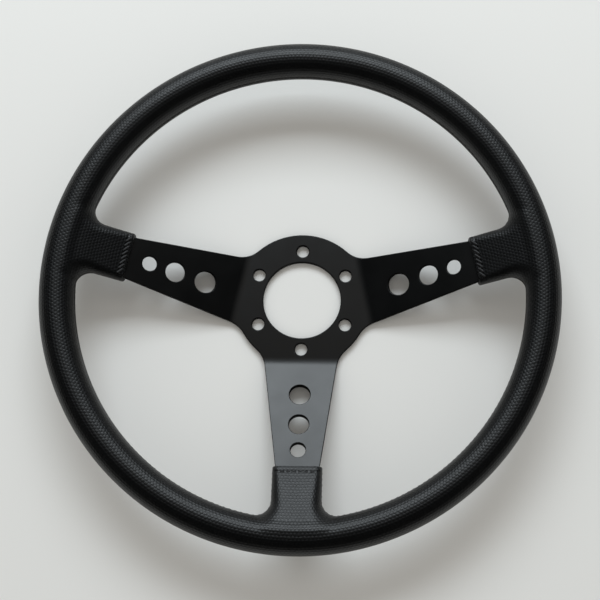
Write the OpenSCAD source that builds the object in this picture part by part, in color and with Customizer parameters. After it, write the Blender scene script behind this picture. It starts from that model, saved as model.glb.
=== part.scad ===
/* [Rim] */
// Outside diameter of the finished rim
rim_diameter = 350; // [320:1:400]
// Width of the grip from the inside of the rim to the outside
grip_width = 23.4; // [22:0.1:28]
// Depth of the grip from front to back
grip_depth = 26; // [25:0.1:32]
// Height of the middle of the rim above the back of the hub
rim_height = 38; // [30:0.5:60]

/* [Plate] */
// Thickness of the plate that hub and spokes are cut from
plate_thickness = 4; // [3:0.1:5]
// Radius of the corners between hub and spokes
corner_radius = 20; // [6:0.5:22]
// Distance from the edge of the hub in to the bend lines
bend_inset = 3; // [0:0.5:5]
// Radius of the bends, measured on the front
bend_radius = 20; // [8:0.5:28]

/* [Bolt circle] */
// Number of bolt holes
bolt_count = 6; // [3:1:8]
// Diameter of the circle through the bolt holes
bolt_circle = 70; // [68:0.5:74]
// Diameter of each bolt hole
bolt_hole = 8.6; // [5:0.1:9]
// Metal between a bolt hole and the edge of the hub
hub_margin = 7.7; // [5:0.1:12]
// Metal between a bolt hole and the hole in the middle of the hub
bore_margin = 3.5; // [2.5:0.1:8]

/* [Side spokes] */
// Angle of the side spokes above the horizontal
side_angle = 12.6; // [8:0.1:18]
// Distance from the hub middle down to the line of a side spoke
side_drop = 3; // [0:0.5:5]
// Width of a side spoke where it leaves the hub
side_root_width = 46.8; // [40:0.2:52]
// Width of a side spoke where it enters its boot
side_tip_width = 29; // [25:0.2:34]
// Length of a side boot, from the inside of the rim to its mouth
side_boot_length = 31.6; // [25:0.1:36]
// Angle of the row of holes in a side spoke above the horizontal
side_row_angle = 14.8; // [12:0.1:16]
// Distance from the hub middle down to the row of holes
side_row_drop = 7.1; // [4:0.1:8]

/* [Bottom spoke] */
// Width of the bottom spoke where it leaves the hub
bottom_root_width = 50.6; // [42:0.2:54]
// Width of the bottom spoke where it enters its boot
bottom_tip_width = 29.6; // [24:0.2:34]
// Length of the bottom boot, from the inside of the rim to its mouth
bottom_boot_length = 34.5; // [26:0.1:37]

/* [Spoke holes] */
// Diameter of the hole next to the hub in a side spoke
side_large_hole = 15.1; // [8:0.1:18]
// Diameter of the hole next to the hub in the bottom spoke
bottom_large_hole = 14.3; // [8:0.1:18]
// Diameter of the middle hole
middle_hole = 13.7; // [8:0.1:17]
// Diameter of the hole next to the rim
small_hole = 10.2; // [6:0.1:14]
// Distance from the bend line to the first hole
first_hole_distance = 24.1; // [20:0.1:27]
// Distance from the first hole to the second
first_hole_gap = 20.9; // [19:0.1:22]
// Distance from the second hole to the third
second_hole_gap = 17.6; // [16:0.1:18.5]

/* [Boots and leather] */
// Thickness of the leather
leather_thickness = 1.2; // [0.8:0.1:1.6]
// How far a side boot reaches past each edge of its spoke
side_boot_overhang = 2.5; // [1:0.1:4]
// How far the bottom boot reaches past each edge of its spoke
bottom_boot_overhang = 1.7; // [1:0.1:4]
// Depth of a boot at its mouth, front to back
boot_mouth_depth = 9.6; // [8.8:0.1:12]
// Depth of a boot where it runs into the rim
boot_root_depth = 14; // [12:0.1:18]
// Radius of the corners between boot and rim
boot_corner_radius = 9.5; // [7:0.5:18]
// Width of the folded hem at the mouth of a boot
hem_width = 3.1; // [2.5:0.1:5]
// How far the hem stands proud of the leather beside it
hem_rise = 0.4; // [0.2:0.1:0.8]
// Diameter of the sewing thread
thread_diameter = 0.9; // [0.6:0.1:1.2]
// Length of one hem stitch
stitch_length = 2.8; // [2:0.1:3.6]
// Number of hem stitches on each face of a side boot
side_stitches = 8; // [4:1:8]
// Distance from one hem stitch to the next on a side boot
side_stitch_pitch = 3.4; // [3:0.1:3.6]
// Slant of the hem stitches on the side boots
side_stitch_slant = 60; // [45:1:90]
// Number of hem stitches on each face of the bottom boot
bottom_stitches = 6; // [3:1:6]
// Distance from one hem stitch to the next on the bottom boot
bottom_stitch_pitch = 4.5; // [3.9:0.1:5]

/* [Inside the rim] */
// Radial width of the hoop
hoop_width = 11.5; // [10:0.1:12]
// Thickness of the hoop
hoop_thickness = 5; // [3:0.1:6]
// Width of the tab that each spoke has on the hoop
tab_width = 27; // [22:0.2:28]
// Distance from the middle of the rim section in to the bend of the tabs
tab_bend_inset = 15.5; // [13:0.1:18]
// Diameter of a rivet shank
rivet_diameter = 5; // [4:0.1:6]
// Diameter of a rivet head
rivet_head = 8.4; // [7.5:0.1:9]
// Height of a rivet head
rivet_head_height = 1.8; // [1.2:0.1:2.2]
// Distance between the two rivets of a tab
rivet_spacing = 15; // [12:0.5:17]

/* [Hidden] */
$fn = 96;

// Radial and axial half sizes of the grip, and the circle through its middle
grip_a = grip_width / 2;
grip_b = grip_depth / 2;
ring_radius = rim_diameter / 2 - grip_a;

// The hub keeps its margins round the bolt holes
bore_diameter = bolt_circle - bolt_hole - 2 * bore_margin;
hub_radius = (bolt_circle + bolt_hole) / 2 + hub_margin;
bend_distance = hub_radius - bend_inset;
side_boot_start = ring_radius - grip_a - side_boot_length;
bottom_boot_start = ring_radius - grip_a - bottom_boot_length;

// The tabs lie on the back of the hoop, and both together are centred in the grip
tab_middle = rim_height - hoop_thickness / 2;
hoop_middle = rim_height + plate_thickness / 2;
tab_bend_distance = ring_radius - tab_bend_inset;
bend_middle_radius = bend_radius + plate_thickness / 2;
spoke_slope = (tab_middle - plate_thickness / 2) / (tab_bend_distance - bend_distance);
spoke_rise = atan(spoke_slope);
bend_reach = bend_middle_radius * tan(spoke_rise / 2);
cut_height = rim_height + grip_depth;
cut_margin = 1;

first_hole = bend_distance + first_hole_distance;
hole_distances = [first_hole, first_hole + first_hole_gap,
    first_hole + first_hole_gap + second_hole_gap];

// Where each spoke points, how far its line lies to the left of the hub middle,
// its root and tip widths, the start of its boot and how far the boot reaches past its
// edges; the left spoke mirrors the right
right_spoke = [side_angle, side_drop, side_root_width, side_tip_width, side_boot_start,
    side_boot_overhang];
bottom_spoke = [-90, 0, bottom_root_width, bottom_tip_width, bottom_boot_start,
    bottom_boot_overhang];

// Grid of the boot surfaces: rays across the straight boot from its edge to the spoke's
// line, then columns that run out over the rim from the last ray, the corner and the rim
hem_rays = 2;
boot_rays = 4;
hem_step = 0.5;
ray_steps = 7;
corner_columns = 4;
rim_columns = 3;
columns = ray_steps + corner_columns + rim_columns;
crown_steps = 5;
column_steps = 9;
blend_margin = 3;
reach_margin = 1.3;
climb_margin = 2;
height_round = 2;
arc_lap = 0.4;
arc_growth = 0.03;
thread_sides = 6;
thread_seat = 0.1;
mould_gap = 0.05;
near = 0.001;

function height_at(along) = plate_thickness / 2 + (along - bend_distance) * spoke_slope;
function mix(p, q, t) = p + (q - p) * t;
function clamp(t) = min(max(t, 0), 1);
function ease(t) = let (c = clamp(t)) c * c * (3 - 2 * c);
function rounded_max(p, q, k) = let (h = max(k - abs(p - q), 0) / k) max(p, q) + h * h * k / 4;
function rounded_min(p, q, k) = -rounded_max(-p, -q, k);
function unit(v) = v / norm(v);

function turned(p, angle) =
    [p.x * cos(angle) - p.y * sin(angle), p.x * sin(angle) + p.y * cos(angle)];
function heading(v) = atan2(v.y, v.x);
function reversed(list) = [for (k = [len(list) - 1:-1:0]) list[k]];

// Points on the shorter arc between two headings, about one for every five degrees
function arc(centre, radius, from, to) =
    let (turn = (to - from + 540) % 360 - 180, steps = max(ceil(abs(turn) / 5), 2))
    [for (i = [0:steps]) centre + radius * turned([1, 0], from + turn * i / steps)];

// Corner arc from the round hub outline out to one edge of a spoke, in the spoke's frame
function edge_arc(spoke, s) =
    let (root = spoke[2] / 2, lean = atan((root - spoke[3] / 2) / (spoke[4] - bend_distance)),
        n = [sin(lean), s * cos(lean)],
        away = ([bend_distance, s * root - spoke[1]] + n * corner_radius) * n,
        along = sqrt(pow(hub_radius + corner_radius, 2) - away * away),
        centre = n * away + along * [cos(lean), -s * sin(lean)])
    arc(centre, corner_radius, heading(-centre), heading(-n));

// Outline of one spoke from the hub out along its lower edge and back along the upper
function spoke_outline(spoke) =
    let (tip = spoke[3] / 2, tab = tab_width / 2, drop = spoke[1],
        reach = ring_radius + hoop_width / 2)
    concat(edge_arc(spoke, -1),
        [[spoke[4], -tip - drop], [tab_bend_distance, -tab - drop]],
        arc([0, 0], reach, asin((-tab - drop) / reach), asin((tab - drop) / reach)),
        [[tab_bend_distance, tab - drop], [spoke[4], tip - drop]],
        reversed(edge_arc(spoke, 1)));

// Outline of the whole plate as seen from the front, before it is bent
function plate_outline() =
    let (right = [for (p = spoke_outline(right_spoke)) turned(p, right_spoke[0])],
        left = reversed([for (p = right) [-p.x, p.y]]),
        bottom = [for (p = spoke_outline(bottom_spoke)) turned(p, bottom_spoke[0])],
        parts = [right, left, bottom])
    [for (k = [0:2])
        let (next = parts[(k + 1) % 3],
            hub = arc([0, 0], hub_radius, heading(parts[k][len(parts[k]) - 1]), heading(next[0])))
        each concat(parts[k], [for (i = [1:len(hub) - 2]) hub[i]])];

// A prism over a polygon, and a round cutter that reaches past it on both sides
module prism(points, height) {
    linear_extrude(height) polygon(points);
}

module round_cut(at, radius, height) {
    translate([at.x, at.y, -cut_margin]) cylinder(r = radius, h = height + 2 * cut_margin);
}

// Rounds the bend at a corner of the side view, where the metal turns by the given angle
module round_bend(corner, start, turn, wide) {
    up = sign(turn);
    middle = corner + up * bend_middle_radius / cos(turn / 2)
        * [-sin(start + turn / 2), cos(start + turn / 2)];
    inside = bend_middle_radius - plate_thickness / 2;
    outside = bend_middle_radius + plate_thickness / 2;
    from = up * [sin(start), -cos(start)];
    to = up * [sin(start + turn), -cos(start + turn)];
    difference() {
        children();
        difference() {
            prism([middle + outside * from, middle + 2 * outside * unit(from + to),
                middle + outside * to], wide);
            round_cut(middle, outside, wide);
        }
    }
    difference() {
        prism([middle + inside * from, middle + bend_middle_radius * unit(from + to),
            middle + inside * to, middle], wide);
        round_cut(middle, inside, wide);
    }
}

// One spoke from the side: bend at the hub, straight slope, bend into the flat tab
module spoke_strip(spoke) {
    half = plate_thickness / 2;
    start = bend_distance - 2 * bend_reach;
    end = ring_radius + hoop_width;
    shift = half * tan(spoke_rise / 2);
    far = bend_distance - bend_reach;
    wide = 2 * sqrt(pow(hub_radius, 2) - far * far) + 2 * corner_radius;
    translate([0, wide / 2 - spoke[1], 0]) rotate([90, 0, 0])
        round_bend([bend_distance, half], 0, spoke_rise, wide)
            round_bend([tab_bend_distance, tab_middle], spoke_rise, -spoke_rise, wide)
                prism([[start, 0], [bend_distance + shift, 0],
                    [tab_bend_distance + shift, tab_middle - half], [end, tab_middle - half],
                    [end, tab_middle + half], [tab_bend_distance - shift, tab_middle + half],
                    [bend_distance - shift, plate_thickness], [start, plate_thickness]], wide);
}

// The flat middle of the plate ends at the three bends
module flat_middle() {
    far = bend_distance - bend_reach;
    top = far / sin(side_angle);
    side = (far + far * sin(side_angle)) / cos(side_angle);
    prism([[0, top], [-side, -far], [side, -far]], plate_thickness);
}

// The outline, bent: each part of the metal is the outline cut from a flat or a strip
module bent_plate() {
    module cut_from_sheet() {
        intersection() {
            prism(plate_outline(), cut_height);
            children();
        }
    }
    cut_from_sheet() flat_middle();
    cut_from_sheet() rotate([0, 0, right_spoke[0]]) spoke_strip(right_spoke);
    cut_from_sheet() mirror([1, 0, 0]) rotate([0, 0, right_spoke[0]]) spoke_strip(right_spoke);
    cut_from_sheet() rotate([0, 0, bottom_spoke[0]]) spoke_strip(bottom_spoke);
}

module drilled_row(angle, drop, large_hole) {
    hole_sizes = [large_hole, middle_hole, small_hole];
    rotate([0, 0, angle])
        for (i = [0:2])
            translate([hole_distances[i], -drop, height_at(hole_distances[i])])
                rotate([0, -spoke_rise, 0])
                    cylinder(d = hole_sizes[i], h = 4 * plate_thickness, center = true);
}

// Places its children at both rivets of each tab, at the face where tab and hoop meet
module at_rivets() {
    for (angle = [side_angle, 180 - side_angle, -90])
        for (s = [-1, 1])
            rotate([0, 0, angle + s * asin(rivet_spacing / 2 / ring_radius)])
                translate([ring_radius, 0, tab_middle + plate_thickness / 2]) children();
}

module spoke_plate() {
    color([0.17, 0.16, 0.15]) difference() {
        bent_plate();
        round_cut([0, 0], bore_diameter / 2, plate_thickness);
        for (i = [0:bolt_count - 1])
            rotate([0, 0, 90 + i * 360 / bolt_count])
                translate([bolt_circle / 2, 0, -cut_margin])
                    cylinder(d = bolt_hole, h = plate_thickness + 2 * cut_margin);
        drilled_row(side_row_angle, side_row_drop, side_large_hole);
        mirror([1, 0, 0]) drilled_row(side_row_angle, side_row_drop, side_large_hole);
        drilled_row(-90, 0, bottom_large_hole);
        at_rivets() translate([0, 0, -plate_thickness - cut_margin])
            cylinder(d = rivet_diameter, h = plate_thickness + 2 * cut_margin);
    }
}

// The hoop, or with a gap the room that the foam leaves round it
module hoop_ring(gap = 0) {
    rotate_extrude()
        translate([ring_radius, hoop_middle])
            square([hoop_width + 2 * gap, hoop_thickness + 2 * gap], center = true);
}

module rim_hoop() {
    color("silver") difference() {
        hoop_ring();
        at_rivets() translate([0, 0, -cut_margin])
            cylinder(d = rivet_diameter, h = hoop_thickness + 2 * cut_margin);
    }
}

// A rivet: shank through tab and hoop, with a low domed head on each side
module rivet() {
    dome = (pow(rivet_head / 2, 2) + pow(rivet_head_height, 2)) / (2 * rivet_head_height);
    rotate_extrude() {
        translate([0, -plate_thickness])
            square([rivet_diameter / 2, plate_thickness + hoop_thickness]);
        intersection() {
            translate([0, hoop_thickness + rivet_head_height - dome]) circle(dome);
            translate([0, hoop_thickness]) square([rivet_head / 2, rivet_head_height]);
        }
        intersection() {
            translate([0, -plate_thickness - rivet_head_height + dome]) circle(dome);
            translate([0, -plate_thickness - rivet_head_height])
                square([rivet_head / 2, rivet_head_height]);
        }
    }
}

module tab_rivets() {
    color("gainsboro") at_rivets() rivet();
}

// The rest of the file describes the padded rim. Each boot is worked out in the frame of
// its spoke: x runs along the spoke, y across it, and the rim's centre lies at [0, lift].
// skin is the depth below the surface, 0 for the outside and more for the layers inside.
function half_width(spoke, skin) = spoke[3] / 2 + spoke[5] - skin;
function corner_r(skin) = boot_corner_radius + skin;
function inner_r(skin) = ring_radius - grip_a + skin;
function outer_r(skin) = ring_radius + grip_a - skin;

// Half the turn of the rim that a boot takes up, corners included
function boot_reach(spoke) = reach_margin
    + asin((half_width(spoke, 0) + boot_corner_radius + spoke[1])
        / (ring_radius - grip_a - boot_corner_radius));

// Middle of the corner arc between a boot's edge and the inside of the rim
function arc_middle(spoke, skin, side) =
    let (y = side * (half_width(spoke, skin) + corner_r(skin)), away = y - spoke[1],
        r = inner_r(skin) - corner_r(skin))
    [sqrt(r * r - away * away), y];

// The hem stands proud at the mouth and ends in a short step
function hem_lift(spoke, skin, x) =
    skin > 0 ? 0 : hem_rise * clamp((spoke[4] + hem_width - x) / hem_step);

// How far a point beside the boot belongs to the plain rim
function rimward(spoke, y) =
    ease((abs(y) - half_width(spoke, 0)) / (boot_corner_radius + blend_margin));

// Half depth at a point which lies a distance in from the inner outline: the boot with its
// rounded edges, or the round section of the rim, with a soft turn between the two
function half_depth(spoke, skin, x, y, inward) =
    let (a = grip_a - skin, b = grip_b - skin,
        t = clamp((x - spoke[4]) / (ring_radius - spoke[4])),
        full = mix(boot_mouth_depth, boot_root_depth, t) / 2 - skin + hem_lift(spoke, skin, x),
        round_in = full * a / b,
        turn = 1 - clamp(inward / round_in),
        boot = full - round_in + round_in * sqrt(1 - turn * turn),
        away = (ring_radius - norm([x, y - spoke[1]])) / a,
        rim = away > 1 + near ? 0 : b - a + a * sqrt(max(1 - away * away, 0)),
        soft = min((grip_depth - boot_root_depth) / 2, 2 * min(boot, rim)))
    away < 0 ? rim : rounded_max(boot, rim, max(soft * (1 - rimward(spoke, y)), near));

function middle_height(spoke, x, y) =
    mix(rounded_min(height_at(x), rim_height, height_round), rim_height, rimward(spoke, y));

// Distance from the inner outline: boot edge, corner arc or inside of the rim
function inward(spoke, skin, side, p) =
    let (arc = arc_middle(spoke, skin, side), centre = [0, spoke[1]],
        past = side * ((arc - centre).x * (p - centre).y - (arc - centre).y * (p - centre).x))
    p.x <= arc.x ? half_width(spoke, skin) - side * p.y
    : past < 0 ? norm(p - arc) - corner_r(skin)
    : norm(p - centre) - inner_r(skin);

function surface_point(spoke, skin, side, face, p) = [p.x, p.y, middle_height(spoke, p.x, p.y)
    + face * half_depth(spoke, skin, p.x, p.y, inward(spoke, skin, side, p))];

// Distance along the spoke of each ray: over the hem, then along the straight boot
function ray_place(spoke, skin, start, i) =
    let (foot = min(arc_middle(spoke, skin, 1).x, arc_middle(spoke, skin, -1).x))
    i < hem_rays ? start + i * (hem_width - hem_step)
    : mix(start + hem_width, foot, (i - hem_rays) / (boot_rays - hem_rays));

function ray_point(spoke, skin, start, side, i, j) =
    [ray_place(spoke, skin, start, i), side * half_width(spoke, skin) * cos(90 * j / ray_steps)];

// Inner end of a column on the last ray, the corner arc or the inside of the rim
function column_start(spoke, skin, start, side, k) =
    let (arc = arc_middle(spoke, skin, side), centre = [0, spoke[1]],
        joint = heading(arc - centre), past = k - ray_steps,
        turn = mix(-90 * side, joint, past / corner_columns),
        along = mix(joint, side * boot_reach(spoke), (past - corner_columns) / rim_columns))
    past <= 0 ? ray_point(spoke, skin, start, side, boot_rays, ray_steps - k)
    : past <= corner_columns ? arc + corner_r(skin) * [cos(turn), sin(turn)]
    : centre + inner_r(skin) * [cos(along), sin(along)];

// Columns from the middle of the boot cross its face in one step and then climb evenly
function column_point(spoke, skin, start, side, k, j) =
    let (centre = [0, spoke[1]], begin = column_start(spoke, skin, start, side, k) - centre,
        past = (j - crown_steps) / (column_steps - crown_steps),
        rounded = mix(norm(begin), ring_radius, 1 - cos(90 * j / crown_steps)),
        climb = mix(inner_r(0) - climb_margin, ring_radius, (j - 1) / (crown_steps - 1)),
        r = j > crown_steps ? mix(ring_radius, outer_r(skin), sin(90 * past))
            : j == 0 ? norm(begin) : mix(climb, rounded, ease(k / ray_steps)))
    centre + r * unit(begin);

function flip(faces) = [for (f = faces) [for (k = [len(f) - 1:-1:0]) f[k]]];

// A strip of triangles between two lines of grid points
function strip(a, b) = [for (q = [0:len(a) - 2])
    each [[a[q], a[q + 1], b[q + 1]], [a[q], b[q + 1], b[q]]]];

// Solid of one boot with the piece of rim it grows from, as a closed net of rays and columns
module boot_solid(spoke, skin, start) {
    row = ray_steps + 1;
    column = column_steps + 1;
    inner_block = (boot_rays + 1) * row;
    block = inner_block + (columns + 1) * column;
    sheets = [[1, 1], [1, -1], [-1, 1], [-1, -1]];
    points = [for (s = sheets) each concat(
        [for (i = [0:boot_rays]) for (j = [0:ray_steps])
            surface_point(spoke, skin, s[0], s[1], ray_point(spoke, skin, start, s[0], i, j))],
        [for (k = [0:columns]) for (j = [0:column_steps])
            surface_point(spoke, skin, s[0], s[1], column_point(spoke, skin, start, s[0], k, j))])];
    // Index of a grid point; both sides share the spoke's line and the last ray
    function on_ray(s, i, j) = s > 1 && j == ray_steps ? on_ray(s - 2, i, j)
        : s * block + i * row + j;
    function on_column(s, k, j) = j == 0 && k <= ray_steps ? on_ray(s, boot_rays, ray_steps - k)
        : s > 1 && k == 0 ? on_column(s - 2, k, j)
        : s * block + inner_block + k * column + j;
    function ray(s, i) = [for (j = [0:ray_steps]) on_ray(s, i, j)];
    function run(s, k) = [for (j = [0:column_steps]) on_column(s, k, j)];
    function inner_line(s) = concat([for (i = [0:boot_rays]) on_ray(s, i, 0)],
        [for (k = [ray_steps + 1:columns]) on_column(s, k, 0)]);
    function outer_line(s) = [for (k = [0:columns]) on_column(s, k, column_steps)];
    sheet_faces = [for (s = [0:3]) let (
        net = concat([for (i = [0:boot_rays - 1]) each flip(strip(ray(s, i), ray(s, i + 1)))],
            [for (k = [0:columns - 1]) each strip(run(s, k + 1), run(s, k))]))
        each sheets[s][0] * sheets[s][1] > 0 ? net : flip(net)];
    edges = [for (s = [0, 2]) let (
        net = concat(flip(strip(inner_line(s), inner_line(s + 1))),
            strip(outer_line(s), outer_line(s + 1)),
            flip(strip(run(s, columns), run(s + 1, columns))),
            strip(ray(s, 0), ray(s + 1, 0))))
        each s == 0 ? net : flip(net)];
    rotate([0, 0, spoke[0]]) translate([0, -spoke[1], 0])
        polyhedron(points, concat(sheet_faces, edges));
}

// Section of the plain rim: two half rounds with a narrow flat between them
module grip_section(skin) {
    a = grip_a - skin;
    flat = grip_b - grip_a;
    translate([ring_radius, rim_height]) {
        for (s = [-1, 1])
            translate([0, s * flat]) circle(a);
        square([2 * a, 2 * flat], center = true);
    }
}

// A piece of plain rim that laps a little over the boots at its ends
module rim_arc(from, to, skin) {
    rotate([0, 0, from - arc_lap]) rotate_extrude(angle = to - from + 2 * arc_lap)
        grip_section(skin - arc_growth);
}

// Rim and boots down to a depth below the surface, with the boots cut back by inset
module padded_body(skin, inset) {
    side_end = side_angle + boot_reach(right_spoke);
    side_low = side_angle - boot_reach(right_spoke);
    bottom_end = -90 + boot_reach(bottom_spoke);
    rim_arc(side_end, 180 - side_end, skin);
    rim_arc(bottom_end, side_low, skin);
    mirror([1, 0, 0]) rim_arc(bottom_end, side_low, skin);
    boot_solid(right_spoke, skin, side_boot_start + inset);
    mirror([1, 0, 0]) boot_solid(right_spoke, skin, side_boot_start + inset);
    boot_solid(bottom_spoke, skin, bottom_boot_start + inset);
}

module leather_cover() {
    color([0.06, 0.06, 0.06]) difference() {
        padded_body(0, 0);
        padded_body(leather_thickness, hem_width);
        bent_plate();
    }
}

module foam_core() {
    color([0.30, 0.28, 0.25]) difference() {
        padded_body(leather_thickness, hem_width);
        bent_plate();
        hoop_ring(mould_gap);
        tab_rivets();
    }
}

// Middle of the seam thread beside a point of the inner outline: just off the leather, in
// the middle of its depth, given with the direction straight away from the leather
function seam_point(spoke, side, p) =
    let (arc = arc_middle(spoke, 0, side), centre = [0, spoke[1]], turn = heading(p - arc),
        away = p.x <= arc.x ? [0, side]
            : side * (turn - heading(arc - centre)) < -near ? unit(arc - p) : unit(centre - p),
        q = p + away * (thread_diameter / 2 + thread_seat))
    [turned(q - centre, spoke[0]), middle_height(spoke, p.x, p.y), turned(away, spoke[0])];

function boot_seam(spoke, side) = concat(
    [for (i = [0:boot_rays]) seam_point(spoke, side, ray_point(spoke, 0, spoke[4], side, i, 0))],
    [for (k = [ray_steps + 1:columns])
        seam_point(spoke, side, column_start(spoke, 0, spoke[4], side, k))]);

// Seam along the plain rim between two directions, one point for about every five degrees
function rim_seam(from, to) =
    let (steps = ceil(abs(to - from) / 5), r = inner_r(0) - thread_diameter / 2 - thread_seat)
    [for (i = [1:steps - 1]) let (d = turned([1, 0], mix(from, to, i / steps)))
        [r * d, rim_height, -d]];

function mirrored(seam) = reversed([for (q = seam) [[-q[0].x, q[0].y], q[1], [-q[2].x, q[2].y]]]);

// A thread laid through a list of seam points
module seam_thread(seam) {
    points = [for (q = seam) for (k = [0:thread_sides - 1])
        let (reach = thread_diameter / 2 * cos(k * 360 / thread_sides),
            rise = thread_diameter / 2 * sin(k * 360 / thread_sides))
        [q[0].x + reach * q[2].x, q[0].y + reach * q[2].y, q[1] + rise]];
    last = len(seam) - 1;
    function at(i, k) = i * thread_sides + k % thread_sides;
    wall = [for (i = [0:last - 1]) for (k = [0:thread_sides - 1])
        each [[at(i, k), at(i, k + 1), at(i + 1, k + 1)],
            [at(i, k), at(i + 1, k + 1), at(i + 1, k)]]];
    ends = [for (k = [1:thread_sides - 2])
        each [[at(0, 0), at(0, k + 1), at(0, k)], [at(last, 0), at(last, k), at(last, k + 1)]]];
    color([0.12, 0.12, 0.12]) polyhedron(points, flip(concat(wall, ends)));
}

module seam_thread_upper() {
    half = concat(boot_seam(right_spoke, 1), rim_seam(side_angle + boot_reach(right_spoke), 90));
    seam_thread(concat(half, [[[0, half[len(half) - 1][0].y], rim_height, [0, -1]]],
        mirrored(half)));
}

module seam_thread_right() {
    seam_thread(concat(boot_seam(bottom_spoke, 1),
        rim_seam(-90 + boot_reach(bottom_spoke), side_angle - boot_reach(right_spoke)),
        reversed(boot_seam(right_spoke, -1))));
}

module seam_thread_left() {
    mirror([1, 0, 0]) seam_thread_right();
}

// Height of the front or the back of a boot
function boot_face(spoke, face, x, y) = middle_height(spoke, x, y)
    + face * half_depth(spoke, 0, x, y, half_width(spoke, 0) - abs(y));

// A row of stitches on the front of a boot and another on its back, just clear of the hem
module hem_stitches(spoke, count, pitch, slant) {
    x = spoke[4] + hem_width + thread_seat
        + (stitch_length * cos(slant) + thread_diameter * sin(slant)) / 2;
    probe = 0.5;
    color([0.12, 0.12, 0.12]) rotate([0, 0, spoke[0]]) translate([0, -spoke[1], 0])
        for (face = [1, -1])
            for (i = [0:count - 1]) {
                y = (i - (count - 1) / 2) * pitch;
                z = boot_face(spoke, face, x, y);
                climb = atan((boot_face(spoke, face, x + probe, y) - z) / probe);
                translate([x, y, z]) rotate([0, -climb, 0]) rotate([0, 0, slant - 90])
                    translate([0, 0, face * (thread_diameter / 2 + thread_seat)])
                        rotate([90, 0, 0])
                            cylinder(d = thread_diameter, h = stitch_length, center = true);
            }
}

module hem_stitches_right() {
    hem_stitches(right_spoke, side_stitches, side_stitch_pitch, side_stitch_slant);
}

module hem_stitches_left() {
    mirror([1, 0, 0]) hem_stitches_right();
}

module hem_stitches_bottom() {
    hem_stitches(bottom_spoke, bottom_stitches, bottom_stitch_pitch, 90);
}

spoke_plate();
leather_cover();
foam_core();
rim_hoop();
tab_rivets();
seam_thread_upper();
seam_thread_left();
seam_thread_right();
hem_stitches_left();
hem_stitches_right();
hem_stitches_bottom();
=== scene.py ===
import math

import bmesh
import bpy
import numpy as np
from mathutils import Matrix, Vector


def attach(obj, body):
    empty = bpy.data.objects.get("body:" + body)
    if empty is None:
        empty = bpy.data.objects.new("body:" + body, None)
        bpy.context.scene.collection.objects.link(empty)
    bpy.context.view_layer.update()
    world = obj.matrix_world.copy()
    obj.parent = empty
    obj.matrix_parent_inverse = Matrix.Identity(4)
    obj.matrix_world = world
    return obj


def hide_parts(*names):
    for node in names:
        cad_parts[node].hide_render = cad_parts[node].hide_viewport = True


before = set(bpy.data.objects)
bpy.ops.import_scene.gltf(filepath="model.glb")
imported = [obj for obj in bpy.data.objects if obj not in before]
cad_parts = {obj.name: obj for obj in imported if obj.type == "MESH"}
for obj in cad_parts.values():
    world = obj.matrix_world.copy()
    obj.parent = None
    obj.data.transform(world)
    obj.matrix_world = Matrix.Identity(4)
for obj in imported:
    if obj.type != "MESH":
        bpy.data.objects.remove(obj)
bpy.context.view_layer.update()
mm = 0.001


def addObject(name, data):
    made = bpy.data.objects.new(name, data)
    bpy.context.scene.collection.objects.link(made)
    return made


# Camera, at the place worked out from the photograph
view = {
    "place": (0.0313, -0.1643, 0.788),
    "turn": (11.855, 0.443, 0.729),
    "lens": 68.64,
    "film": 36.0,
    "shift": -0.0583,
}

cameraData = bpy.data.cameras.new("camera")
cameraData.lens = view["lens"]
cameraData.sensor_width = view["film"]
cameraData.shift_x = view["shift"]
camera = addObject("camera", cameraData)
camera.location = view["place"]
camera.rotation_euler = [math.radians(a) for a in view["turn"]]
bpy.context.scene.camera = camera
bpy.context.scene.view_settings.view_transform = "Standard"
print("camera made")


# Shader sockets with arithmetic
class Wire:
    def __init__(self, tree, socket=None):
        self.tree = tree
        self.socket = socket

    def node(self, kind, settings={}, inputs={}, output=0):
        made = self.tree.nodes.new(kind)
        for name, value in settings.items():
            setattr(made, name, value)
        for key, value in inputs.items():
            if isinstance(value, Wire):
                self.tree.links.new(value.socket, made.inputs[key])
            else:
                made.inputs[key].default_value = value
        return Wire(self.tree, made.outputs[output])

    def math(self, operation, *others):
        values = dict(enumerate((self,) + others))
        return self.node("ShaderNodeMath", {"operation": operation}, values)

    def __add__(self, other):
        return self.math("ADD", other)

    def __sub__(self, other):
        return self.math("SUBTRACT", other)

    def __rsub__(self, other):
        return self.node("ShaderNodeMath", {"operation": "SUBTRACT"}, {0: other, 1: self})

    def __mul__(self, other):
        return self.math("MULTIPLY", other)

    def __truediv__(self, other):
        return self.math("DIVIDE", other)

    def __pow__(self, other):
        return self.math("POWER", other)

    def __mod__(self, other):
        return self.math("FLOORED_MODULO", other)

    def clamp(self):
        return self.math("MAXIMUM", 0.0).math("MINIMUM", 1.0)

    def ramp(self, low, high, start=0.0, end=1.0):
        return self.node("ShaderNodeMapRange", {"interpolation_type": "SMOOTHSTEP"},
            {"Value": self, "From Min": low, "From Max": high, "To Min": start, "To Max": end})

    # Noise seldom goes below 0.2 or above 0.8
    def spread(self, start, end):
        return self.ramp(0.2, 0.8, start, end)

    def mix(self, first, second):
        return self.node("ShaderNodeMix", {"data_type": "RGBA"},
            {0: self, 6: (*first, 1.0), 7: (*second, 1.0)}, 2)

    def split(self):
        return [self.node("ShaderNodeSeparateXYZ", {}, {0: self}, k) for k in range(3)]

    def place(self):
        return self.node("ShaderNodeTexCoord", {}, {}, "Object")

    def noise(self, scale, detail=2.0, output=0):
        return self.node("ShaderNodeTexNoise", {},
            {"Vector": self, "Scale": scale, "Detail": detail}, output)

    def bump(self, distance, strength=1.0):
        return self.node("ShaderNodeBump", {},
            {"Strength": strength, "Distance": distance * mm, "Height": self})


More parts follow.
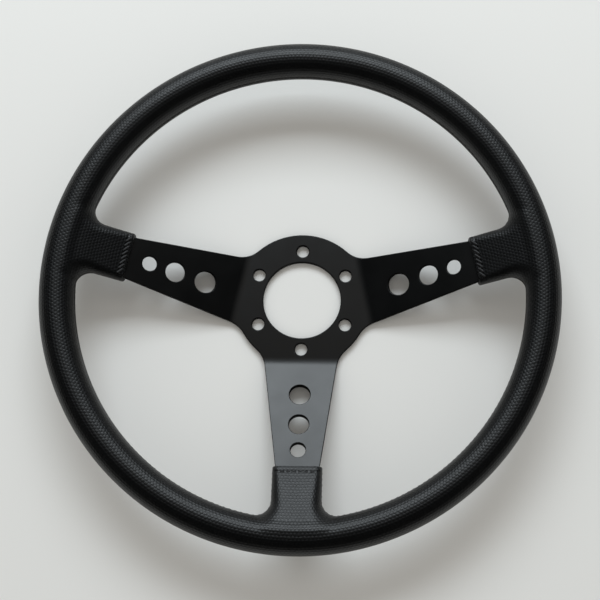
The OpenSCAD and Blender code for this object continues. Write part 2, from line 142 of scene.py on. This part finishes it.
def newMaterial(name, shader, values):
    made = bpy.data.materials.new(name)
    made.use_nodes = True
    tree = made.node_tree
    surface = next(n for n in tree.nodes if n.type == "BSDF_PRINCIPLED")
    for key, value in {**shader, **values(Wire(tree))}.items():
        if isinstance(value, Wire):
            tree.links.new(value.socket, surface.inputs[key])
        else:
            surface.inputs[key].default_value = value
    return made


# Floor, lights and surroundings
studio = {
    "floor size": 6.0,
    "floor drop": 0.2,
    "floor dark": (0.755, 0.755, 0.745),
    "floor light": (0.77, 0.77, 0.76),
    "floor patches": 3.0,
    "aim": (0, 0, 0.02),
    "key place": (-0.1, 1.35, 1.35),
    "key size": (1.5, 0.8),
    "key power": 27.0,
    "key colour": (0.88, 0.955, 1.0),
    "ceiling place": (0.0, 0.35, 2.2),
    "ceiling size": (1.1, 0.9),
    "ceiling power": 1.1,
    "ceiling colour": (1.0, 0.93, 0.85),
    "fill": 0.52,
    "fill colour": (1.0, 0.97, 0.91),
    "mirrored": 0.004,
}

floorMesh = bpy.data.meshes.new("floor")
reach = studio["floor size"] / 2
floorMesh.from_pydata([(-reach, -reach, 0), (reach, -reach, 0), (reach, reach, 0),
    (-reach, reach, 0)], [], [(0, 1, 2, 3)])
floor = addObject("floor", floorMesh)
floor.location.z = -studio["floor drop"] * mm


def floorShader(wire):
    patches = wire.node("ShaderNodeTexNoise", {}, {"Scale": studio["floor patches"]})
    return {"Base Color": patches.mix(studio["floor dark"], studio["floor light"])}


floorMesh.materials.append(newMaterial("floorPaper",
    {"Roughness": 0.9, "Specular IOR Level": 0.1}, floorShader))


def areaLight(name, kind):
    data = bpy.data.lights.new(name, "AREA")
    data.shape = "RECTANGLE"
    data.size, data.size_y = studio[kind + " size"]
    data.energy = studio[kind + " power"]
    data.color = studio[kind + " colour"]
    light = addObject(name, data)
    light.location = studio[kind + " place"]
    towards = Vector(studio["aim"]) - light.location
    light.rotation_euler = towards.to_track_quat("-Z", "Y").to_euler()


areaLight("keyLight", "key")
areaLight("ceilingLight", "ceiling")

# The surroundings fill the shadows, and reflections show them much darker
world = bpy.data.worlds.new("studio")
world.use_nodes = True
bpy.context.scene.world = world
glossy = Wire(world.node_tree).node("ShaderNodeLightPath", {}, {}, "Is Glossy Ray")
strength = glossy.ramp(0.0, 1.0, studio["fill"], studio["mirrored"])
background = world.node_tree.nodes["Background"]
background.inputs["Color"].default_value = (*studio["fill colour"], 1.0)
world.node_tree.links.new(strength.socket, background.inputs["Strength"])
print("studio made")


# The padded rim, worked out in millimetres in the frame of each spoke, where x runs along
# the spoke and the centre of the wheel lies at (0, lift)
rim = {
    "middle": 163.3,
    "across": 11.7,
    "deep": 13.0,
    "height": 38.0,
    "corner": 9.5,
    "blend": 3.0,
    "margin": 1.3,
    "seam sink": 0.55,
    "seam length": 0.5,
}
boot = {
    "mouth": 9.6,
    "root": 14.0,
    "fullness": 10.5,
    "bend": 44.0,
    "bend round": 2.0,
    "slope": 33.5 / 103.8,
    "plate": 4.0,
    "mouth corner": 1.4,
    "lip": 0.35,
    "hem": 3.1,
    "rise": 0.24,
    "rise fade": (0.8, 1.0),
    "groove": 0.14,
    "groove place": 0.5,
    "groove width": 0.6,
}
# How softly a boot runs into the rim
blending = {"most": 5.0, "share": 2.0, "crown": 0.45, "least": 0.001, "slack": 1.0001}
sideSpoke = {"angle": 12.6, "lift": 3.0, "half": 17.0, "start": 120.0}
bottomSpoke = {"angle": -90.0, "lift": 0.0, "half": 16.5, "start": 117.1}
innerRadius = rim["middle"] - rim["across"]
outerRadius = rim["middle"] + rim["across"]


def ease(t):
    t = np.clip(t, 0, 1)
    return t * t * (3 - 2 * t)


def mix(a, b, t):
    return a + (b - a) * t


def roundedMax(a, b, k):
    h = np.maximum(k - np.abs(a - b), 0) / k
    return np.maximum(a, b) + h * h * k / 4


def unit(vectors):
    return vectors / np.linalg.norm(vectors, axis=1)[:, None]


def lengthAlong(line):
    return np.concatenate([[0], np.cumsum(np.linalg.norm(np.diff(line, axis=0), axis=1))])


# The way out of the leather beside each point of its inner outline
def outwardAt(flat, side):
    along = np.gradient(flat, axis=0)
    return side * unit(np.column_stack([-along[:, 1], along[:, 0]]))


# Half the turn of the rim that a boot takes up
def reachOf(spoke):
    return rim["margin"] + math.degrees(math.asin((spoke["half"] + rim["corner"] + spoke["lift"])
        / (innerRadius - rim["corner"])))


def cornerMiddle(spoke, side):
    y = side * (spoke["half"] + rim["corner"])
    r = innerRadius - rim["corner"]
    return np.array([math.sqrt(r * r - (y - spoke["lift"]) ** 2), y])


def radiusAt(spoke, x, y):
    return np.hypot(x, y - spoke["lift"])


# Distance in from the inner outline: the boot's edge, the corner or the inside of the rim
def inwardAt(spoke, x, y):
    found = np.zeros(np.shape(x))
    for side in (1, -1):
        middle = cornerMiddle(spoke, side)
        dx, dy = x - middle[0], y - middle[1]
        past = side * (middle[0] * (y - spoke["lift"]) - (middle[1] - spoke["lift"]) * x)
        way = np.where(dx < 0, spoke["half"] - side * y,
            np.where(past > 0, radiusAt(spoke, x, y) - innerRadius,
                np.hypot(dx, dy) - rim["corner"]))
        found = np.where(side * y >= 0, way, found)
    return np.maximum(found, 0)


def rimward(spoke, y):
    return ease((np.abs(y) - spoke["half"]) / (rim["corner"] + rim["blend"]))


def middleHeight(spoke, x, y):
    sheet = boot["plate"] / 2 + (x - boot["bend"]) * boot["slope"]
    low = -roundedMax(-sheet, -rim["height"], boot["bend round"])
    return mix(low, rim["height"], rimward(spoke, y))


# The folded hem stands proud, rolls over at the mouth and is sewn down along a groove
def hemRelief(spoke, x):
    s = x - spoke["start"]
    lip, (before, length) = boot["lip"], boot["rise fade"]
    roll = np.where(s < lip, np.sqrt(np.maximum(lip ** 2 - (lip - s) ** 2, 0)) - lip, 0)
    rise = boot["rise"] * (1 - ease((s - boot["hem"] + before) / length))
    away = (s - boot["hem"] - boot["groove place"]) / boot["groove width"]
    return roll + rise - boot["groove"] * np.exp(-away ** 2)


def halfDepth(spoke, x, y, inward):
    a, b = rim["across"], rim["deep"]
    t = np.clip((x - spoke["start"]) / (rim["middle"] - spoke["start"]), 0, 1)
    full = mix(boot["mouth"], boot["root"] + boot["fullness"], t) / 2
    roundIn = full * a / b
    turn = 1 - np.clip(inward / roundIn, 0, 1)
    onBoot = full - roundIn + roundIn * np.sqrt(1 - turn ** 2)
    away = (rim["middle"] - radiusAt(spoke, x, y)) / a
    onRim = np.where(away > blending["slack"], 0,
        b - a + a * np.sqrt(np.maximum(1 - away ** 2, 0)))
    soft = np.minimum(blending["most"], blending["share"] * np.minimum(onBoot, onRim))
    soft = soft * ease(away / blending["crown"]) * (1 - rimward(spoke, y))
    joined = roundedMax(onBoot, onRim, np.maximum(soft, blending["least"]))
    return np.where(away < 0, onRim, joined)


# Without the hem
def smoothHeight(spoke, x, y, face):
    depth = halfDepth(spoke, x, y, inwardAt(spoke, x, y))
    return middleHeight(spoke, x, y) + face * depth


mapping = {"true from": 128.0, "true over": 20.0, "plain from": 0.6, "turns": 25, "climbs": 31}


# Lengths along the leather in millimetres: along the rim, and in from its outside
def leatherMap(spoke, x, y, face):
    lift, middle = spoke["lift"], rim["middle"]
    radius = np.minimum(radiusAt(spoke, x, y), outerRadius)
    angle = np.arctan2(y - lift, x)
    zero = math.asin(-lift / middle)
    scale = mix(radius, middle, ease((radius - mapping["true from"]) / mapping["true over"]))
    swing = mix(zero, angle, np.linspace(0, 1, mapping["turns"])[:, None])
    height = smoothHeight(spoke, radius * np.cos(swing), lift + radius * np.sin(swing), face)
    step = scale * np.abs(angle - zero) / (mapping["turns"] - 1)
    across = np.hypot(step, np.diff(height, axis=0)).sum(0) * np.sign(angle - zero)
    end, start = math.radians(reachOf(spoke)), mapping["plain from"]
    plain = ease((np.abs(angle) - end * start) / (end * (1 - start)))
    across = mix(across, (angle - zero) * middle, plain)
    climb = (1 - np.cos(np.linspace(0, math.pi, mapping["climbs"]))) / 2
    r = mix(outerRadius, radius, climb[:, None])
    height = smoothHeight(spoke, r * np.cos(angle), lift + r * np.sin(angle), face)
    along = np.hypot(np.diff(r, axis=0), np.diff(height, axis=0)).sum(0)
    return across + zero * middle, (rim["deep"] - rim["across"] + along) * face


def placed(spoke, points, mirrored):
    a = math.radians(spoke["angle"])
    x, y = points[:, 0], points[:, 1] - spoke["lift"]
    turned = np.stack([x * math.cos(a) - y * math.sin(a), x * math.sin(a) + y * math.cos(a),
        points[:, 2]], 1)
    if mirrored:
        turned[:, 0] *= -1
    return turned


# How finely the leather is divided, with the last two for joining its sheets
steps = {
    "hem": 0.25,
    "hem reach": 5.0,
    "boot": 12,
    "cross": 30,
    "corner": 16,
    "rim": 6,
    "climb": 18,
    "outer": 14,
    "per degree": 1.2,
    "seam": 0.8,
    "weld": 0.002,
    "sliver": 0.0001,
}


# Rays from the edge of a boot to the spoke's line, close together over the hem
def bootRays(spoke, side):
    foot = min(cornerMiddle(spoke, 1)[0], cornerMiddle(spoke, -1)[0])
    start, corner = spoke["start"], boot["mouth corner"]
    places = np.concatenate([np.arange(start, start + steps["hem reach"], steps["hem"]),
        np.linspace(start + steps["hem reach"], foot, steps["boot"])])
    turns = np.linspace(0, math.pi / 2, steps["cross"] + 1)
    rays = []
    for x in places:
        cut = max(corner - (x - start), 0)
        half = spoke["half"] - corner + math.sqrt(corner ** 2 - cut ** 2)
        y = side * half * np.cos(turns)
        y[-1] = 0
        rays.append(np.column_stack([np.full(len(y), x), y, half - np.abs(y)]))
    return rays


# Columns from the last ray, the corner and the inside of the rim out over the rim
def rimColumns(spoke, side, lastRay):
    middle, centre = cornerMiddle(spoke, side), np.array([0, spoke["lift"]])
    meeting = math.atan2(middle[1] - spoke["lift"], middle[0])
    begins = [p[:2] for p in lastRay[::-1]]
    begins += [middle + rim["corner"] * np.array([math.cos(a), math.sin(a)])
        for a in np.linspace(-side * math.pi / 2, meeting, steps["corner"] + 1)[1:]]
    begins += [centre + innerRadius * np.array([math.cos(a), math.sin(a)])
        for a in np.linspace(meeting, side * math.radians(reachOf(spoke)), steps["rim"] + 1)[1:]]
    climb = np.linspace(0, 1, steps["climb"] + 1)
    over = np.sin(np.linspace(0, math.pi / 2, steps["outer"] + 1))[1:]
    columns = []
    for k, begin in enumerate(begins):
        low = np.linalg.norm(begin - centre)
        share = ease(k / steps["cross"])
        t = mix(climb, 1 - np.cos(climb * math.pi / 2), share)
        r = np.concatenate([mix(low, rim["middle"], t), mix(rim["middle"], outerRadius, over)])
        points = centre + np.outer(r, (begin - centre) / low)
        columns.append(np.column_stack([points, inwardAt(spoke, points[:, 0], points[:, 1])]))
    return columns


class Sheet:
    def __init__(self):
        self.points, self.maps, self.faces, self.count = [], [], [], 0

    def grid(self, points, maps, rows, flipped):
        columns = len(points) // rows
        index = self.count + np.arange(len(points)).reshape(rows, columns)
        a, b = index[:-1, :-1].ravel(), index[1:, :-1].ravel()
        c, d = index[1:, 1:].ravel(), index[:-1, 1:].ravel()
        self.faces.append(np.stack([a, d, c, b] if flipped else [a, b, c, d], 1))
        self.points.append(points)
        self.maps.append(maps)
        self.count += len(points)

    def build(self, name, mapName):
        mesh = bpy.data.meshes.new(name)
        points, maps = np.concatenate(self.points) * mm, np.concatenate(self.maps)
        mesh.from_pydata(points.tolist(), [], np.concatenate(self.faces).tolist())
        layer = mesh.uv_layers.new(name=mapName)
        corner = np.zeros(len(mesh.loops), np.int64)
        mesh.loops.foreach_get("vertex_index", corner)
        layer.uv.foreach_set("vector", maps[corner].astype(np.float32).ravel())
        made = bmesh.new()
        made.from_mesh(mesh)
        bmesh.ops.remove_doubles(made, verts=made.verts, dist=steps["weld"] * mm)
        bmesh.ops.dissolve_degenerate(made, edges=made.edges, dist=steps["sliver"] * mm)
        made.to_mesh(mesh)
        made.free()
        mesh.shade_smooth()
        return mesh


# The seam on the inside sinks between the front and the back of the leather
def seamStrip(upper, lower, inward):
    middle = (upper + lower) / 2
    middle[:, :2] += inward * rim["seam sink"]
    return np.concatenate([upper, middle, lower])


def addTee(sheet, spoke, mirrored):
    turn = math.radians(180 - spoke["angle"] if mirrored else spoke["angle"])
    for side in (1, -1):
        rays = bootRays(spoke, side)
        columns = rimColumns(spoke, side, rays[-1])
        blocks = {}
        for face in (1, -1):
            for name, lines in (("boot", rays), ("rim", columns)):
                flat = np.concatenate(lines)
                x, y = flat[:, 0], flat[:, 1]
                depth = halfDepth(spoke, x, y, flat[:, 2]) + hemRelief(spoke, x)
                points = np.column_stack([x, y, middleHeight(spoke, x, y) + face * depth])
                mapped = np.column_stack(leatherMap(spoke, x, y, face))
                if mirrored:
                    mapped[:, 0] *= -1
                mapped[:, 0] += turn * rim["middle"]
                blocks[name, face] = (points.reshape(len(lines), -1, 3),
                    mapped.reshape(len(lines), -1, 2))
                sheet.grid(placed(spoke, points, mirrored), mapped, len(lines),
                    (face * side > 0) != mirrored)
        # The inner outline, as points and as their map, for the front and for the back
        outline = [[np.concatenate([blocks["boot", face][k][:, 0],
            blocks["rim", face][k][steps["cross"] + 1:, 0]]) for k in (0, 1)] for face in (1, -1)]
        (upper, mapUpper), (lower, mapLower) = outline
        strip = seamStrip(upper, lower, -outwardAt(upper[:, :2], side))
        handed = (side > 0) == mirrored
        sheet.grid(placed(spoke, strip, mirrored),
            np.concatenate([mapUpper, (mapUpper + mapLower) / 2, mapLower]), 3, not handed)
        # The outside of the rim, and the mouth
        for name, row in (("rim", np.s_[:, -1]), ("boot", np.s_[0])):
            (upper, mapUpper), (lower, mapLower) = blocks[name, 1], blocks[name, -1]
            sheet.grid(placed(spoke, np.concatenate([upper[row], lower[row]]), mirrored),
                np.concatenate([mapUpper[row], mapLower[row]]), 2, handed)


def addArc(sheet, start, end):
    count = int(round((end - start) * steps["per degree"])) + 1
    turns = np.radians(np.linspace(start, end, count))
    a, flat = rim["across"], rim["deep"] - rim["across"]
    outer = np.linspace(0, math.pi / 2, steps["outer"] + 1)
    inner = np.linspace(math.pi / 2, math.pi, steps["climb"] + 1)[1:]
    half = np.concatenate([outer, inner])
    front = np.column_stack([a * np.cos(half), flat + a * np.sin(half)])
    section = np.concatenate([front, [(-a + rim["seam sink"], 0)], front[::-1] * (1, -1),
        front[:1]])
    length = np.concatenate([flat + a * half, [flat + a * math.pi + rim["seam length"]],
        -(flat + a * half[::-1]), [flat]])
    rows, maps = [], []
    for turn in turns:
        r = rim["middle"] + section[:, 0]
        rows.append(np.column_stack([r * math.cos(turn), r * math.sin(turn),
            rim["height"] + section[:, 1]]))
        maps.append(np.column_stack([np.full(len(r), turn * rim["middle"]), length]))
    sheet.grid(np.concatenate(rows), np.concatenate(maps), len(turns), False)


cover = Sheet()
for spoke, mirrored in ((sideSpoke, False), (sideSpoke, True), (bottomSpoke, False)):
    addTee(cover, spoke, mirrored)
sideAngle, bottomAngle = sideSpoke["angle"], bottomSpoke["angle"]
sideReach, bottomReach = reachOf(sideSpoke), reachOf(bottomSpoke)
upperArc = (sideAngle + sideReach, 180 - sideAngle - sideReach)
rightArc = (bottomAngle + bottomReach, sideAngle - sideReach)
leftArc = (180 - sideAngle + sideReach, 270 - bottomReach)
for arc in (upperArc, rightArc, leftArc):
    addArc(cover, *arc)
leather = addObject("rimLeather", cover.build("rimLeather", "leatherMap"))
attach(leather, "root")
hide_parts("leather_cover")

grain = {
    "pitch": (2.5, 2.05),
    "depth": 0.095,
    "wander": 0.5,
    "drift": 420.0,
    "pores": 3500.0,
    "pore depth": 0.1,
    "blotches": 90.0,
    "blotch depth": 0.6,
    "dark": (0.0006, 0.0006, 0.0007),
    "light": (0.0018, 0.0019, 0.0021),
    "rough": (0.40, 0.48),
}


# Rounded bricks that wander a little, every other row half a brick along
def leatherShader(wire):
    place = wire.place()
    across, along, _ = wire.node("ShaderNodeUVMap", {"uv_map": "leatherMap"}).split()
    driftX, driftY, _ = place.noise(grain["drift"], output="Color").split()
    across = across / grain["pitch"][0] + (driftX - 0.5) * grain["wander"]
    along = along / grain["pitch"][1] + (driftY - 0.5) * grain["wander"]
    u = (across + (along.math("FLOOR") % 2.0) * 0.5) % 1.0 - 0.5
    v = along % 1.0 - 0.5
    pillow = (1.0 - (u * 2.0) ** 2.0).clamp() * (1.0 - (v * 2.0) ** 2.0).clamp()
    raised = pillow.ramp(0.0, 1.0)
    pores = place.noise(grain["pores"]) * grain["pore depth"]
    blotch = place.noise(grain["blotches"], 3.0)
    height = raised + pores + blotch * grain["blotch depth"]
    smooth, dull = grain["rough"]
    return {"Base Color": (raised * 0.5 + blotch * 0.5).mix(grain["dark"], grain["light"]),
        "Roughness": (raised * 0.4 + blotch * 0.6).spread(dull, smooth),
        "Normal": height.bump(grain["depth"])}


leather.data.materials.append(newMaterial("grainedLeather",
    {"Specular IOR Level": 0.5}, leatherShader))
print("leather made:", len(leather.data.polygons), "faces")


# Waxed thread: lacing over the seam inside the rim, and the stitches beside the hems
thread = {
    "sides": 8,
    "points": 9,
    "blunt": 8,
    "strands": 3.0,
    "twist": 0.9,
    "fuzz": 6000.0,
    "relief": 0.12,
    "dark": (0.008, 0.008, 0.0085),
    "light": (0.03, 0.03, 0.032),
    "rough": 0.5,
}
lacing = {"radius": 0.32, "pitch": 4.0, "half height": 1.35, "lean": 1.0, "gap": 2.5,
    "bulge": 0.5, "sink": 0.62}
sideHem = {"count": 8, "pitch": 3.2, "inner": 1.0, "outer": 4.6, "lean": 4.6, "rise": 0.78,
    "sink": 0.5, "radius": 0.72}
bottomHem = {"count": 6, "pitch": 3.9, "inner": 3.7, "outer": 3.7, "lean": 3.0, "rise": 0.5,
    "sink": 0.5, "radius": 0.52}


def addTube(sheet, line, radius):
    along = unit(np.gradient(line, axis=0))
    aside = unit(np.cross(along, np.eye(3)[np.argmin(np.abs(along.mean(0)))]))
    up = np.cross(aside, along)
    turns = np.linspace(0, 2 * math.pi, thread["sides"] + 1)
    size = radius * np.sqrt(1 - np.linspace(-1, 1, len(line)) ** thread["blunt"])
    rings = line[:, None] + size[:, None, None] * (np.cos(turns)[None, :, None] * aside[:, None]
        + np.sin(turns)[None, :, None] * up[:, None])
    maps = np.stack(np.meshgrid(turns / (2 * math.pi), lengthAlong(line)), 2)
    sheet.grid(rings.reshape(-1, 3), maps.reshape(-1, 2), len(line), False)


def threadShader(wire):
    turn, length, _ = wire.node("ShaderNodeUVMap", {"uv_map": "threadMap"}).split()
    winding = (turn * thread["strands"] + length / thread["twist"]) * (2 * math.pi)
    strand = winding.math("SINE") * 0.5 + 0.5
    fuzz = wire.place().noise(thread["fuzz"])
    return {"Base Color": (strand * 0.6 + fuzz * 0.4).mix(thread["dark"], thread["light"]),
        "Normal": (strand + fuzz * 0.3).bump(thread["relief"], 0.8)}


threadMaterial = newMaterial("waxedThread", {"Roughness": thread["rough"]}, threadShader)


def threadPiece(sheet, name, node):
    piece = addObject(name, sheet.build(name, "threadMap"))
    piece.data.materials.append(threadMaterial)
    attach(piece, "root")
    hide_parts(node)


# The seam as points with the way out of the leather beside each
def seamOf(spoke, side, mirrored):
    rays = bootRays(spoke, side)
    columns = rimColumns(spoke, side, rays[-1])
    lines = rays + columns[steps["cross"] + 1:]
    flat = np.array([line[0][:2] for line in lines])
    points = np.column_stack([flat, middleHeight(spoke, flat[:, 0], flat[:, 1])])
    ahead = np.column_stack([flat + outwardAt(flat, side), points[:, 2]])
    points, ahead = placed(spoke, points, mirrored), placed(spoke, ahead, mirrored)
    return np.concatenate([points, ahead - points], 1)


def arcSeam(start, end):
    a = np.radians(np.arange(start, end, steps["seam"]))[1:]
    c, s = np.cos(a), np.sin(a)
    return np.column_stack([innerRadius * c, innerRadius * s, np.full(len(a), rim["height"]),
        -c, -s, 0 * a])


def laceSeam(name, node, path):
    sheet = Sheet()
    length = lengthAlong(path[:, :3])
    ends = boot["hem"] + lacing["gap"]
    t = np.linspace(-1, 1, thread["points"])
    proud = lacing["bulge"] * (1 - t ** 4) - lacing["sink"]
    for spot in np.arange(ends, length[-1] - ends, lacing["pitch"]):
        here = np.column_stack([np.interp(spot + t * lacing["lean"], length, path[:, k])
            for k in range(6)])
        line = here[:, :3] + here[:, 3:] * proud[:, None]
        line[:, 2] += t * lacing["half height"]
        addTube(sheet, line, lacing["radius"])
    threadPiece(sheet, name, node)


upperSeam = np.concatenate([seamOf(sideSpoke, 1, False), arcSeam(*upperArc),
    seamOf(sideSpoke, 1, True)[::-1]])
rightSeam = np.concatenate([seamOf(bottomSpoke, 1, False), arcSeam(*rightArc),
    seamOf(sideSpoke, -1, False)[::-1]])
laceSeam("upperLacing", "seam_thread_upper", upperSeam)
laceSeam("rightLacing", "seam_thread_right", rightSeam)
laceSeam("leftLacing", "seam_thread_left", rightSeam * (-1, 1, 1, -1, 1, 1))


def sewHem(name, node, spoke, mirrored, hem):
    sheet = Sheet()
    t = np.linspace(0, 1, thread["points"])
    x = spoke["start"] + mix(hem["inner"], hem["outer"], t)
    proud = hem["rise"] * np.sqrt(np.sin(math.pi * t)) - hem["sink"]
    for face in (1, -1):
        for k in range(hem["count"]):
            middle = (k - (hem["count"] - 1) / 2) * hem["pitch"]
            y = middle + mix(hem["lean"] / 2, -hem["lean"] / 2, t)
            foot, head = smoothHeight(spoke, x[[0, -1]], y[[0, -1]], face) \
                + face * hemRelief(spoke, x[[0, -1]])
            z = mix(foot, head, t) + face * proud
            line = placed(spoke, np.column_stack([x, y, z]), mirrored)
            addTube(sheet, line, hem["radius"])
    threadPiece(sheet, name, node)


sewHem("rightHemStitches", "hem_stitches_right", sideSpoke, False, sideHem)
sewHem("leftHemStitches", "hem_stitches_left", sideSpoke, True, sideHem)
sewHem("bottomHemStitches", "hem_stitches_bottom", bottomSpoke, False, bottomHem)
print("thread made")


# The plate keeps its shape: tiny edges are merged, and sharp ones are rounded off a little
plateLook = {
    "edge": 0.5,
    "edge segments": 3,
    "sharp": 40,
    "flat": 0.5,
    "shortest": 0.35,
    "upright": 0.5,
    "dark": (0.0003, 0.0003, 0.0003),
    "light": (0.0006, 0.0006, 0.0006),
    "rough": (0.29, 0.36),
    "specular": 0.5,
    "speckle": 3500.0,
    "cloud": 60.0,
    "tooling": 1500.0,
    "relief": 0.04,
    "cut rough": 0.75,
    "cut specular": 0.12,
}
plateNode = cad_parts["spoke_plate"]
plateMesh = plateNode.data.copy()
plateMesh.materials.clear()
clean = bmesh.new()
clean.from_mesh(plateMesh)
bmesh.ops.remove_doubles(clean, verts=clean.verts, dist=plateLook["shortest"] * mm)
bmesh.ops.dissolve_limit(clean, angle_limit=math.radians(plateLook["flat"]),
    verts=clean.verts, edges=clean.edges)
clean.to_mesh(plateMesh)
clean.free()
plate = addObject("plateMetal", plateMesh)
plate.matrix_world = plateNode.matrix_world
edges = plate.modifiers.new("brokenEdges", "BEVEL")
edges.width = plateLook["edge"] * mm
edges.segments = plateLook["edge segments"]
edges.use_clamp_overlap = False
edges.limit_method = "ANGLE"
edges.angle_limit = math.radians(plateLook["sharp"])
plateMesh.shade_smooth()
plate.modifiers.new("flatFaces", "WEIGHTED_NORMAL").keep_sharp = True
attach(plate, "root")
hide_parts("spoke_plate")


def plateShader(wire):
    speckle = wire.place().noise(plateLook["speckle"])
    cloud = wire.place().noise(plateLook["cloud"], 3.0)
    return {"Base Color": cloud.mix(plateLook["dark"], plateLook["light"]),
        "Roughness": (cloud * 0.5 + speckle * 0.5).spread(*plateLook["rough"]),
        "Normal": speckle.bump(plateLook["relief"], 0.25)}


def cutShader(wire):
    tooling = wire.place().noise(plateLook["tooling"])
    return {"Base Color": tooling.mix(plateLook["dark"], plateLook["light"]),
        "Normal": tooling.bump(plateLook["relief"], 0.5)}


# The cut edges and the walls of the holes are duller than the faces
plateMesh.materials.append(newMaterial("blackPlate",
    {"Specular IOR Level": plateLook["specular"]}, plateShader))
plateMesh.materials.append(newMaterial("blackCutEdge",
    {"Specular IOR Level": plateLook["cut specular"], "Roughness": plateLook["cut rough"]},
    cutShader))
for polygon in plateMesh.polygons:
    polygon.material_index = int(abs(polygon.normal.z) < plateLook["upright"])
print("plate made")


def nodeMaterial(nodes, made):
    for name in nodes:
        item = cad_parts[name]
        item.data.materials.clear()
        item.data.materials.append(made)


# Inside the leather: the foam, and the steel hoop with its rivets
foam = {"cells": 1500.0, "relief": 0.1, "dark": (0.03, 0.03, 0.03), "light": (0.06, 0.06, 0.06),
    "rough": 0.85}
steel = {"scale": 400.0, "dark": (0.45, 0.45, 0.46), "light": (0.55, 0.55, 0.56),
    "rough": (0.3, 0.5)}


def foamShader(wire):
    cells = wire.node("ShaderNodeTexVoronoi", {},
        {"Vector": wire.place(), "Scale": foam["cells"]})
    return {"Base Color": cells.mix(foam["dark"], foam["light"]),
        "Normal": cells.bump(foam["relief"])}


def steelShader(wire):
    scale = wire.place().noise(steel["scale"], 3.0)
    return {"Base Color": scale.mix(steel["dark"], steel["light"]),
        "Roughness": scale.spread(*steel["rough"])}


nodeMaterial(["foam_core"], newMaterial("mouldedFoam", {"Roughness": foam["rough"]}, foamShader))
nodeMaterial(["rim_hoop", "tab_rivets"], newMaterial("plainSteel", {"Metallic": 1.0}, steelShader))
print("materials made")
